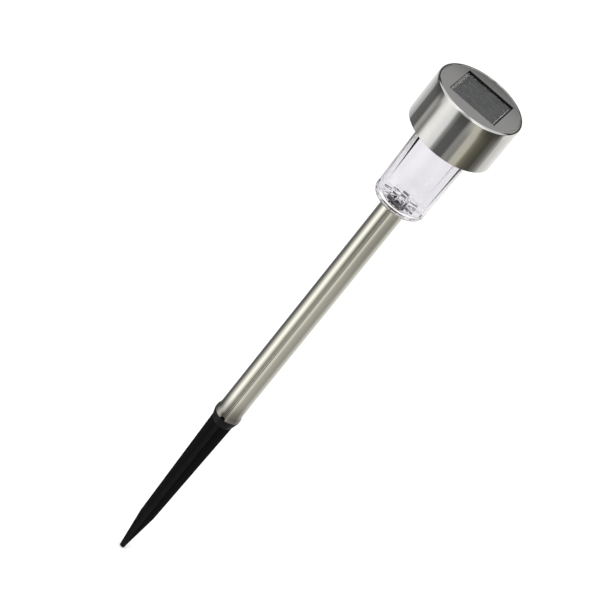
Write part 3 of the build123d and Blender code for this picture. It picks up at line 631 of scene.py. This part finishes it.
FACET_REACH = 1 * MM
SPACE_ABOVE_RIM = 2 * MM

lens_low, lens_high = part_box("lens_cup")
inside_floor = LENS_FLOOR + FLOOR_THICKNESS
lens = turned("clear_lens", [
    (0, inside_floor - FLOOR_SKIN + BORE_CONE), (STUB_BORE, inside_floor - FLOOR_SKIN),
    (STUB_BORE, lens_low.z), (STUB_RADIUS, lens_low.z), (STUB_RADIUS, LENS_FLOOR),
    (LIP_INSIDE, LENS_FLOOR), (LIP_INSIDE, LENS_FLOOR - LIP_HEIGHT),
    (LIP_RADIUS, LENS_FLOOR - LIP_HEIGHT), (LIP_RADIUS, LENS_FLOOR),
    (LENS_LOW_RADIUS, LENS_FLOOR), (lens_high.x, lens_high.z),
    (0, lens_high.z)], LENS_SEGMENTS)
round_off(lens, ring_test(LENS_LOW_RADIUS, LENS_FLOOR), LENS_CORNER, 9)
round_off(lens, ring_test(LIP_RADIUS, LENS_FLOOR - LIP_HEIGHT), LIP_ROUNDING, 5)
round_off(lens, ring_test(lens_high.x, lens_high.z), RIM_ROUNDING, 3)
round_off(lens, ring_test(STUB_RADIUS, lens_low.z), STUB_ROUNDING, 3)

# the space inside the lens: a faceted bucket, less the crystal and its petals
bucket_height = lens_high.z - inside_floor + SPACE_ABOVE_RIM
taper = (lens_high.x - LENS_LOW_RADIUS) / (lens_high.z - LENS_FLOOR)
bpy.ops.object.select_all(action="DESELECT")
bpy.ops.mesh.primitive_cone_add(
    vertices=FACETS, radius1=LENS_LOW_RADIUS - LENS_WALL,
    radius2=LENS_LOW_RADIUS - LENS_WALL + taper * bucket_height, depth=bucket_height,
    location=(0, 0, inside_floor + bucket_height / 2))
bucket = named("lens_space")
round_off(bucket, lambda point: point.z < inside_floor + NEAR, INSIDE_CORNER, 6)
round_off(bucket, lambda point: point.z > inside_floor + INSIDE_CORNER - NEAR
          and math.hypot(point.x, point.y) > LENS_LOW_RADIUS - LENS_WALL - FACET_REACH, FACET_ROUNDING, 2)
step_outline = [(0, inside_floor - FLOOR_SKIN), (CRYSTAL_STEPS[0][0] * MM, inside_floor - FLOOR_SKIN)]
level = inside_floor
for radius, height in CRYSTAL_STEPS:
    level += height * MM
    step_outline += [(radius * MM, level - 2 * CRYSTAL_GROOVE), (radius * MM - CRYSTAL_GROOVE, level)]
step_outline += [(0, level)]
crystal = turned("crystal", step_outline, 4)
crystal.rotation_euler.z = CRYSTAL_TURN
bpy.ops.object.select_all(action="DESELECT")
crystal.select_set(True)
bpy.ops.object.transform_apply(rotation=True)
ease(crystal, CRYSTAL_ROUNDING, 2, 30)
combine(bucket, crystal, "DIFFERENCE")
for petal_number in range(PETALS):
    angle = math.tau * (petal_number + 0.5) / PETALS
    bpy.ops.object.select_all(action="DESELECT")
    bpy.ops.mesh.primitive_uv_sphere_add(
        segments=20, ring_count=12, radius=1, scale=PETAL_HALF, rotation=(0, 0, angle),
        location=(PETAL_CIRCLE * math.cos(angle), PETAL_CIRCLE * math.sin(angle), inside_floor))
    combine(bucket, named("petal"), "DIFFERENCE")
combine(lens, bucket, "DIFFERENCE")
smooth(lens, 28, true_faces=False)

clear_plastic = new_material("lens_clear", Base_Color=(0.93, 0.915, 0.94, 1), Transmission_Weight=1.0,
                             IOR=1.5, Roughness=0.015)
lens_place = add_node(clear_plastic, "ShaderNodeTexCoord").outputs["Object"]
flow = add_node(clear_plastic, "ShaderNodeTexNoise", [
    ("Vector", lens_place), ("Scale", 110), ("Detail", 2)])
flow_bump = add_node(clear_plastic, "ShaderNodeBump", [
    ("Height", flow.outputs["Fac"]), ("Strength", 0.15), ("Distance", 0.05 * MM)])
clear_plastic.node_tree.links.new(flow_bump.outputs["Normal"],
                                  clear_plastic.node_tree.nodes["Principled BSDF"].inputs["Normal"])
fit(lens, "lens", "lens_cup", clear_plastic)

# ================================================================ base plate
# A round floor of black ABS moulding that closes the cap.  Its deep round well takes the
# lens rim, with a hole for the lamp and a slot for the switch in its ceiling.
def finish_nodes(material, *names):
    """Gives CAD nodes whose shape is right a finish."""
    for name in names:
        nodes[name].data.materials.clear()
        nodes[name].data.materials.append(material)


black_plastic = surface("black_plastic", (0.012, 0.012, 0.013), 0.4, depth=0.03 * MM,
                        Specular_IOR_Level=0.3)
finish_nodes(black_plastic, "base_plate")

# ================================================================ base screws
# Three cross-recessed pan-head screws of zinc-plated steel that hold the base plate to
# the tray from below.
SCREW_CIRCLE = 20.8 * MM
SCREW_ANGLES = (30, 150, 270)
HEAD_HEIGHT = 0.9 * MM
SHANK_RADIUS = 0.95 * MM
SCREW_POINT = 0.8 * MM
THREAD_PITCH = 0.7 * MM
THREAD_DEPTH = 0.22 * MM
CROSS_LENGTH = 2.2 * MM
CROSS_WIDTH = 0.55 * MM
CROSS_DEPTH = 0.55 * MM
HEAD_CROWN = 0.04 * MM
TIP_RADIUS = 0.25 * MM
THREAD_START = 0.4
THREAD_CREST = 0.3
THREAD_END = 0.55

screw_low, screw_high = (corner.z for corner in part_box("base_screws"))
head_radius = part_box("base_screws")[1].x - SCREW_CIRCLE * math.cos(math.radians(SCREW_ANGLES[0]))
under_head = screw_low + HEAD_HEIGHT
screw_outline = [(0, screw_low), (0.6 * head_radius, screw_low + HEAD_CROWN),
                 (0.88 * head_radius, screw_low + 0.25 * HEAD_HEIGHT),
                 (head_radius, screw_low + 0.65 * HEAD_HEIGHT), (head_radius, under_head),
                 (SHANK_RADIUS, under_head)]
turns = int((screw_high - SCREW_POINT - under_head) / THREAD_PITCH)
for turn in range(turns):
    root = under_head + (turn + THREAD_START) * THREAD_PITCH
    screw_outline += [(SHANK_RADIUS, root),
                      (SHANK_RADIUS + THREAD_DEPTH, root + THREAD_CREST * THREAD_PITCH),
                      (SHANK_RADIUS, root + THREAD_END * THREAD_PITCH)]
screw_outline += [(SHANK_RADIUS, screw_high - SCREW_POINT), (TIP_RADIUS, screw_high), (0, screw_high)]
screw = turned("screw", screw_outline, 32)
for length, width in ((CROSS_LENGTH, CROSS_WIDTH), (CROSS_WIDTH, CROSS_LENGTH)):
    bpy.ops.object.select_all(action="DESELECT")
    bpy.ops.mesh.primitive_cube_add(
        size=1, location=(0, 0, screw_low), scale=(length, width, 2 * CROSS_DEPTH))
    combine(screw, named("cross_recess"), "DIFFERENCE")
bpy.ops.object.select_all(action="DESELECT")
screw.select_set(True)
bpy.context.view_layer.objects.active = screw
screw.location = (SCREW_CIRCLE, 0, 0)
bpy.ops.object.transform_apply(location=True)
screws = []
for angle in SCREW_ANGLES:
    bpy.ops.object.select_all(action="DESELECT")
    screw.select_set(True)
    bpy.context.view_layer.objects.active = screw
    bpy.ops.object.duplicate(linked=False)
    bpy.context.object.rotation_euler.z = math.radians(angle)
    screws.append(named("plate_screw"))
bpy.data.objects.remove(screw)
for copy in screws:
    copy.select_set(True)
bpy.ops.object.join()
screws = bpy.context.object
smooth(screws)
plated_steel = surface("plated_steel", (0.60, 0.61, 0.60), 0.26, grain=1800, depth=0.004 * MM, Metallic=1.0)
fit(screws, "cap", "base_screws", plated_steel)

# ================================================================ circuit board
# A small glass-epoxy board with green solder mask.  It carries a moulded driver chip, an
# inductor shaped like a resistor, and the dull solder of four joints.
TRACE_WIDTH = 1.6 * MM
TRACE_HEIGHT = 0.5 * MM
TRACE_GAP = 0.14 * MM
TRACE_COLOUR = (0.03, 0.2, 0.07, 1)

board_green = surface("board_green", (0.012, 0.10, 0.035), 0.3, grain=1200, depth=0.01 * MM)
board_place = add_node(board_green, "ShaderNodeTexCoord").outputs["Object"]
traces = add_node(board_green, "ShaderNodeTexBrick", [
    ("Vector", board_place), ("Scale", 1), ("Mortar Size", TRACE_GAP), ("Mortar Smooth", 0.3),
    ("Brick Width", TRACE_WIDTH), ("Row Height", TRACE_HEIGHT)])
mix_in(board_green, traces.outputs["Fac"], high=TRACE_COLOUR)
finish_nodes(board_green, "circuit_board")
finish_nodes(surface("chip_black", (0.014, 0.014, 0.015), 0.5, grain=3600, depth=0.02 * MM), "control_chip")
finish_nodes(surface("inductor_coat", (0.05, 0.16, 0.10), 0.32), "inductor")
finish_nodes(surface("solder", (0.62, 0.62, 0.63), 0.3, grain=3600, depth=0.03 * MM, Metallic=1.0),
             "solder_joints")

# ================================================================ lamp
# A 5 mm light-emitting diode hangs through the base plate: clear epoxy cast round two
# tinned leads, with a flange at its foot and a domed end that points down into the lens.
LAMP_RADIUS = 2.5 * MM
DOME_STEPS = 8
FLANGE_HEIGHT = 1.0 * MM
LAMP_ROUNDING = 0.1 * MM

lamp_low, lamp_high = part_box("led_lamp")
dome_centre = lamp_low.z + LAMP_RADIUS
lamp_outline = [(0, lamp_low.z)]
for step in range(1, DOME_STEPS + 1):
    turn = 0.5 * math.pi * step / DOME_STEPS
    lamp_outline.append((LAMP_RADIUS * math.sin(turn), dome_centre - LAMP_RADIUS * math.cos(turn)))
lamp_outline += [(LAMP_RADIUS, lamp_high.z - FLANGE_HEIGHT), (lamp_high.x, lamp_high.z - FLANGE_HEIGHT),
                 (lamp_high.x, lamp_high.z), (0, lamp_high.z)]
lamp = turned("lamp_epoxy", lamp_outline, 48)
ease(lamp, LAMP_ROUNDING, 2, 50)
smooth(lamp, 30)
fit(lamp, "cap", "led_lamp",
    surface("led_epoxy", (0.97, 0.96, 0.90), 0.06, grain=900, depth=0.01 * MM, spread=0.02,
            Transmission_Weight=0.85, IOR=1.5))
nickel = surface("nickel_contact", (0.66, 0.62, 0.53), 0.24, grain=2200, depth=0.006 * MM, Metallic=1.0)
finish_nodes(nickel, "led_leads")

# ================================================================ switch
# A slide switch soldered under the board: a plated steel case, and a black lever that
# reaches through the slot in the base plate.
finish_nodes(plated_steel, "switch_body")
finish_nodes(surface("slider_plastic", (0.02, 0.02, 0.021), 0.5, grain=1500, depth=0.05 * MM),
             "switch_slider")

# ================================================================ battery and contacts
# One rechargeable cell: a drawn steel can in a shrunk green sleeve.  It is held between
# a flat contact plate and a conical spring, both of nickel-plated steel.
finish_nodes(plated_steel, "battery_can", "battery_plus_cap")
finish_nodes(surface("cell_sleeve", (0.02, 0.17, 0.05), 0.22, grain=300, depth=0.03 * MM, spread=0.1,
                     Coat_Weight=0.4), "battery_sleeve")
finish_nodes(nickel, "contact_plate", "contact_spring")

# ================================================================ wires
# Thin stranded wires in soft vinyl run from the solar panel and from the cell's contacts
# down to the board: red for plus and black for minus.
finish_nodes(surface("wire_red", (0.45, 0.012, 0.01), 0.35, grain=900, depth=0.02 * MM),
             "panel_wire_red", "cell_wire_red")
finish_nodes(surface("wire_black", (0.012, 0.012, 0.012), 0.35, grain=900, depth=0.02 * MM),
             "panel_wire_black", "cell_wire_black")

# ================================================================ tray
# The black ABS tray inside the cap holds the solar panel on its deck and the cell under
# it.  The cap shell is glued over its skirt.
finish_nodes(black_plastic, "holder_tray")

# ================================================================ solar panel
# Four strips of silicon on a board that is printed dark between them and grey round them,
# under clear epoxy poured level with the tray's rim.
RESIN_SINK = 0.1 * MM
RESIN_ROUNDING = 0.12 * MM
CELL_FIELD = 12.6 * MM
CELL_COLOUR = (0.115, 0.117, 0.120)
BORDER_BLEND = 0.4 * MM
BORDER_COLOUR = (0.19, 0.19, 0.185, 1)

finish_nodes(surface("solar_cell", CELL_COLOUR, 0.35, grain=1500, spread=0.05, Specular_IOR_Level=0),
             "solar_cells")
board_finish = surface("panel_backing", CELL_COLOUR, 0.5, grain=1500, spread=0.05, Specular_IOR_Level=0)
backing_place = add_node(board_finish, "ShaderNodeTexCoord").outputs["Object"]
offset = add_node(board_finish, "ShaderNodeVectorMath", [("Vector", backing_place)], operation="ABSOLUTE")
backing_span = add_node(board_finish, "ShaderNodeSeparateXYZ", [("Vector", offset.outputs["Vector"])])
from_centre = add_node(board_finish, "ShaderNodeMath", [
    (0, backing_span.outputs["X"]), (1, backing_span.outputs["Y"])], operation="MAXIMUM")
outside_cells = add_node(board_finish, "ShaderNodeMapRange", [
    ("Value", from_centre.outputs["Value"]), ("From Min", CELL_FIELD),
    ("From Max", CELL_FIELD + BORDER_BLEND)])
mix_in(board_finish, outside_cells.outputs["Result"], high=BORDER_COLOUR)
finish_nodes(board_finish, "panel_board")

resin_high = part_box("panel_resin")[1]
resin_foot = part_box("solar_cells")[1].z - RESIN_SINK
bpy.ops.object.select_all(action="DESELECT")
bpy.ops.mesh.primitive_cube_add(
    size=1, location=(0, 0, (resin_foot + resin_high.z) / 2),
    scale=(2 * resin_high.x, 2 * resin_high.y, resin_high.z - resin_foot))
resin = named("panel_epoxy")
ease(resin, RESIN_ROUNDING)
smooth(resin)
fit(resin, "cap", "panel_resin",
    surface("clear_resin", (0.96, 0.96, 0.96), 0.1, grain=420, depth=0.015 * MM, spread=0.02,
            Transmission_Weight=1.0, IOR=1.5))

# ================================================================ panel seal
# A frame of black foam tape, squeezed between the panel and the roof of the cap.  Its opening is set a
# little off centre, so a dark strip of it shows in the window at the back and on one side: painted shade.
SEAL_OPENING = 28.9 * MM
# how far the opening is set off centre, so that a dark strip of the frame stands in for the shade along the
# back and one side of the window
SHADE_STRIP_RIGHT = 0.75 * MM
SHADE_STRIP_BACK = 0.7 * MM
SEAL_ROUNDING = 0.12 * MM

seal_low, seal_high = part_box("panel_seal")
bpy.ops.object.select_all(action="DESELECT")
bpy.ops.mesh.primitive_cube_add(
    size=1, location=(0, 0, (seal_low.z + seal_high.z) / 2),
    scale=(2 * seal_high.x, 2 * seal_high.y, seal_high.z - seal_low.z))
seal = named("foam_frame")
bpy.ops.object.select_all(action="DESELECT")
bpy.ops.mesh.primitive_cube_add(
    size=1, location=(-SHADE_STRIP_RIGHT / 2, -SHADE_STRIP_BACK / 2, seal_low.z),
    scale=(SEAL_OPENING - SHADE_STRIP_RIGHT, SEAL_OPENING - SHADE_STRIP_BACK, 4 * (seal_high.z - seal_low.z)))
combine(seal, named("frame_opening"), "DIFFERENCE")
ease(seal, SEAL_ROUNDING)
smooth(seal)
fit(seal, "cap", "panel_seal",
    surface("black_seal", (0.006, 0.006, 0.006), 0.8, grain=1800, depth=0.08 * MM, Specular_IOR_Level=0.1))

# ================================================================ cap shell
# A cup deep-drawn from thin stainless sheet, with a rounded edge, a shallow step round
# its flat top and a square window punched through it.  It is glued over the tray.
CAP_WALL = 0.4 * MM
CAP_EDGE = 1.6 * MM
STEP_DEPTH = 0.12 * MM
STEP_RADIUS = 23.0 * MM
STEP_SLOPE = 0.15 * MM
HEM_ROUNDING = 0.15 * MM
WINDOW = 28.9 * MM
WINDOW_CORNER = 0.4 * MM
CAP_SEGMENTS = 256

cap_low, cap_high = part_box("cap_shell")
cap_radius = cap_high.x
ceiling = cap_high.z - CAP_WALL
cap = turned("drawn_cap", [
    (0, ceiling), (cap_radius - CAP_WALL, ceiling), (cap_radius - CAP_WALL, cap_low.z),
    (cap_radius, cap_low.z), (cap_radius, cap_high.z), (STEP_RADIUS, cap_high.z),
    (STEP_RADIUS - STEP_SLOPE, cap_high.z - STEP_DEPTH), (0, cap_high.z - STEP_DEPTH)], CAP_SEGMENTS)
round_off(cap, ring_test(cap_radius, cap_high.z), CAP_EDGE, 10)
round_off(cap, ring_test(cap_radius - CAP_WALL, ceiling), CAP_EDGE - CAP_WALL, 6)
round_off(cap, lambda point: point.z < cap_low.z + NEAR, HEM_ROUNDING, 3)
bpy.ops.object.select_all(action="DESELECT")
bpy.ops.mesh.primitive_cube_add(size=WINDOW, location=(0, 0, cap_high.z))
punch = named("window_punch")
round_off(punch, lambda point: min(abs(point.x), abs(point.y)) > 0.4 * WINDOW, WINDOW_CORNER)
combine(cap, punch, "DIFFERENCE")
smooth(cap, 30)
fit(cap, "cap", "cap_shell",
    surface("cap_steel", (0.62, 0.615, 0.60), 0.085, grain=2200, depth=0.0016 * MM, spread=0.04,
            run=(0.12, 0.12, 1), Metallic=1.0))
